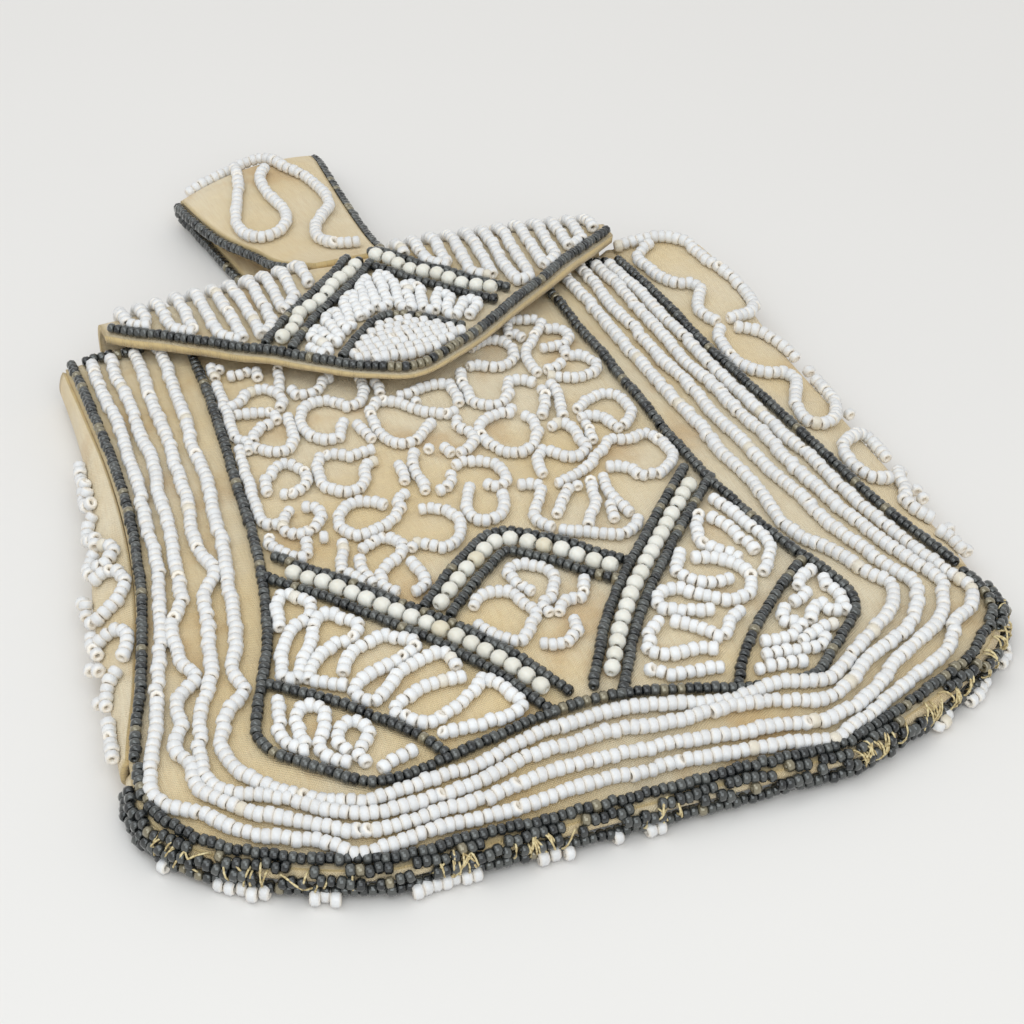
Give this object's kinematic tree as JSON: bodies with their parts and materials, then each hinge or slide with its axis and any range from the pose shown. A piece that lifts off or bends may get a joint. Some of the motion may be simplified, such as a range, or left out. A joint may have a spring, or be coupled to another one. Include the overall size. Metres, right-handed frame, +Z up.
{
  "type": "beaded evening bag",
  "caption": "Small flat silk evening bag with a pointed flap, folded side gussets and a finger loop, covered in white, cream and gunmetal bead embroidery.",
  "frame": {"origin": "middle of the back panel's underside, on the surface that the bag lies on", "axes": "+X along the top fold, +Y from the bottom edge towards the fold and the finger loop, +Z up out of the front"},
  "size_m": [0.1276, 0.1786, 0.0154],
  "materials": {
    "silk": "matte woven silk crepe, ecru gone golden with age",
    "gunmetal": "dark metallic seed beads with a satin lustre",
    "white": "glossy opal white seed beads",
    "cream": "smooth cream glass beads with a soft pearl sheen"
  },
  "bodies": {
    "root": {"front_panel": "silk", "back_panel": "silk", "gusset_left": "silk", "gusset_right": "silk", "flap": "silk", "finger_loop": "silk", "seam_beads_left": "gunmetal", "seam_beads_right": "gunmetal", "bottom_beads_front": "gunmetal", "bottom_beads_back": "gunmetal", "field_beads": "gunmetal", "flap_edge_beads": "gunmetal", "loop_beads_left": "gunmetal", "loop_beads_right": "gunmetal", "border_beads_1": "white", "border_beads_2": "white", "border_beads_3": "white", "border_beads_4": "white", "cream_beads_left": "cream", "cream_beads_right": "cream", "cream_beads_chevron": "cream", "cream_beads_flap_left": "cream", "cream_beads_flap_right": "cream"}
  },
  "joints": []
}
